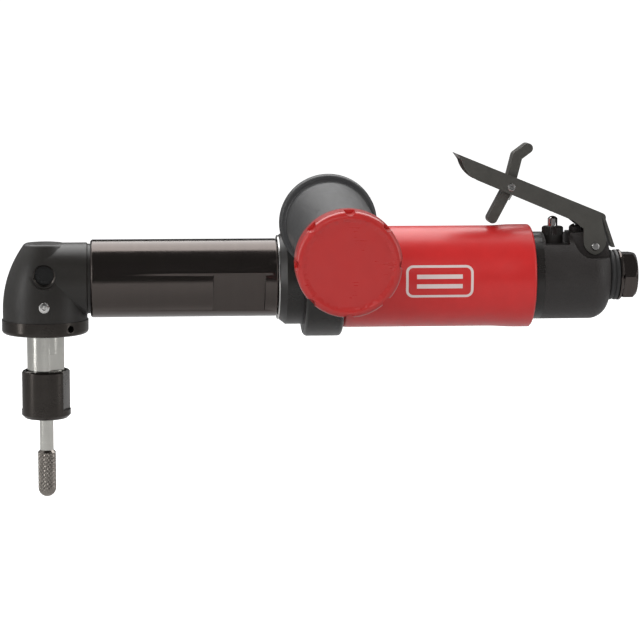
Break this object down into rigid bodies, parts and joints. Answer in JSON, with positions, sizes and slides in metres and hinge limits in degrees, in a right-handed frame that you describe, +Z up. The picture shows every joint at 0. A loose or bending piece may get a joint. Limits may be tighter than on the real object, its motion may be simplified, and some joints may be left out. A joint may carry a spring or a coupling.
{
  "type": "die grinder",
  "caption": "Right-angle extended air die grinder with lever throttle, lock-off lever, clamp-on side handle and a ball-nosed burr in its collet.",
  "frame": {"origin": "centre of the air inlet's mouth, on the tool axis", "axes": "+X out of the air inlet along the tool axis, +Z up away from the burr, the side handle towards -Y"},
  "size_m": [0.2937, 0.1622, 0.1628],
  "materials": {
    "casting_black": "matte cast texture",
    "housing_black": "satin",
    "sleeve_red": "satin moulded",
    "blued_steel": "gloss blued",
    "bright_steel": "turned",
    "bearing_steel": "ground",
    "lever_steel": "satin",
    "carbide": "ground",
    "brass": "turned",
    "iron": "ground",
    "vane_resin": "matte",
    "felt": "felt",
    "rubber": "matte",
    "grip_black": "satin moulded",
    "cap_red": "gloss moulded",
    "aluminium": "machined"
  },
  "bodies": {
    "tool_body": {"inlet_bushing": "blued_steel", "inlet_seal": "rubber", "inlet_screen": "bright_steel", "backhead": "casting_black", "valve_seat": "brass", "valve_spring": "bright_steel", "valve_cap": "blued_steel", "lever_pin": "bright_steel", "motor_housing": "housing_black", "grip_sleeve": "sleeve_red", "exhaust_muffler": "felt", "rear_end_plate": "iron", "front_end_plate": "iron", "rear_rotor_bearing": "bearing_steel", "front_rotor_bearing": "bearing_steel", "motor_cylinder": "iron", "barrel_lock_ring": "bright_steel", "extension_barrel": "blued_steel", "barrel_rear_bearing": "bearing_steel", "barrel_front_bearing": "bearing_steel", "pinion_bearing": "bearing_steel", "angle_head": "casting_black", "grease_fitting": "bright_steel", "bearing_cap_ring": "blued_steel", "lower_spindle_bearing": "bearing_steel", "upper_spindle_bearing": "bearing_steel"},
    "regulator": {"regulator_screw": "blued_steel"},
    "plunger": {"throttle_plunger": "bright_steel"},
    "valve": {"throttle_valve": "bright_steel"},
    "lever": {"throttle_lever": "lever_steel", "lock_pin": "bright_steel", "lock_spring": "bright_steel"},
    "lock": {"lock_lever": "lever_steel"},
    "drive_line": {"rotor": "bright_steel", "rotor_vanes": "vane_resin", "shaft_coupling": "bright_steel", "drive_shaft": "bright_steel", "bevel_pinion": "bright_steel"},
    "spindle_unit": {"spindle": "bright_steel", "driven_gear": "bright_steel"},
    "collet_unit": {"collet": "bright_steel"},
    "nut_unit": {"collet_nut": "blued_steel"},
    "burr_unit": {"carbide_burr": "carbide"},
    "handle_clamp": {"clamp_band": "housing_black", "handle_stud": "bright_steel", "clamp_nut": "blued_steel"},
    "handle": {"handle_grip": "grip_black", "handle_end_cap": "cap_red"}
  },
  "joints": [
    {"name": "lever_press", "type": "hinge", "parent": "tool_body", "child": "lever", "pos_m": [-0.0203, 0, 0.01395], "axis": [0, -1, 0], "range_deg": [0, 13.5], "stiffness_Nm_per_rad": 1.5, "springref_deg": -5.73},
    {"name": "plunger_press", "type": "slide", "parent": "tool_body", "child": "plunger", "axis": [0, 0, -1], "range_m": [0, 0.0032]},
    {"name": "valve_tilt", "type": "hinge", "parent": "tool_body", "child": "valve", "pos_m": [-0.029, 0, 0.006], "axis": [0, -1, 0], "range_deg": [0, 16], "deforming": ["valve_spring"]},
    {"name": "lock_fold", "type": "hinge", "parent": "lever", "child": "lock", "pos_m": [-0.0599, 0, 0.04165], "axis": [0, -1, 0], "range_deg": [-62.5, 0]},
    {"name": "regulator_turn", "type": "hinge", "parent": "tool_body", "child": "regulator", "pos_m": [-0.0285, 0, 0.0202], "axis": [0, 0, 1], "range_deg": [0, 180]},
    {"name": "drive_spin", "type": "hinge", "parent": "tool_body", "child": "drive_line", "pos_m": [-0.1, 0, 0], "axis": [1, 0, 0], "continuous": true},
    {"name": "spindle_spin", "type": "hinge", "parent": "tool_body", "child": "spindle_unit", "pos_m": [-0.27395, 0, -0.03], "axis": [0, 0, 1], "continuous": true},
    {"name": "collet_release", "type": "slide", "parent": "spindle_unit", "child": "collet_unit", "axis": [0, 0, -1], "range_m": [0, 0.001]},
    {"name": "nut_turn", "type": "hinge", "parent": "collet_unit", "child": "nut_unit", "pos_m": [-0.27395, 0, -0.055], "axis": [0, 0, -1], "range_deg": [0, 360]},
    {"name": "burr_pull", "type": "slide", "parent": "spindle_unit", "child": "burr_unit", "axis": [0, 0, -1], "range_m": [0, 0.03]},
    {"name": "handle_swing", "type": "hinge", "parent": "tool_body", "child": "handle_clamp", "pos_m": [-0.1469, 0, 0], "axis": [1, 0, 0], "continuous": true},
    {"name": "handle_turn", "type": "hinge", "parent": "handle_clamp", "child": "handle", "pos_m": [-0.1469, -0.00271, 0.03098], "axis": [0, -0.9962, -0.0872], "range_deg": [0, 360]}
  ],
  "couplings": [
    {"joint": "plunger_press", "follows": "lever_press", "m_per_rad": 0.013},
    {"joint": "valve_tilt", "follows": "lever_press", "ratio": 1.05},
    {"joint": "lock_fold", "follows": "lever_press", "ratio": -4.6},
    {"joint": "spindle_spin", "follows": "drive_spin", "ratio": 1},
    {"joint": "collet_release", "follows": "nut_turn", "m_per_rad": 0.00015915}
  ]
}
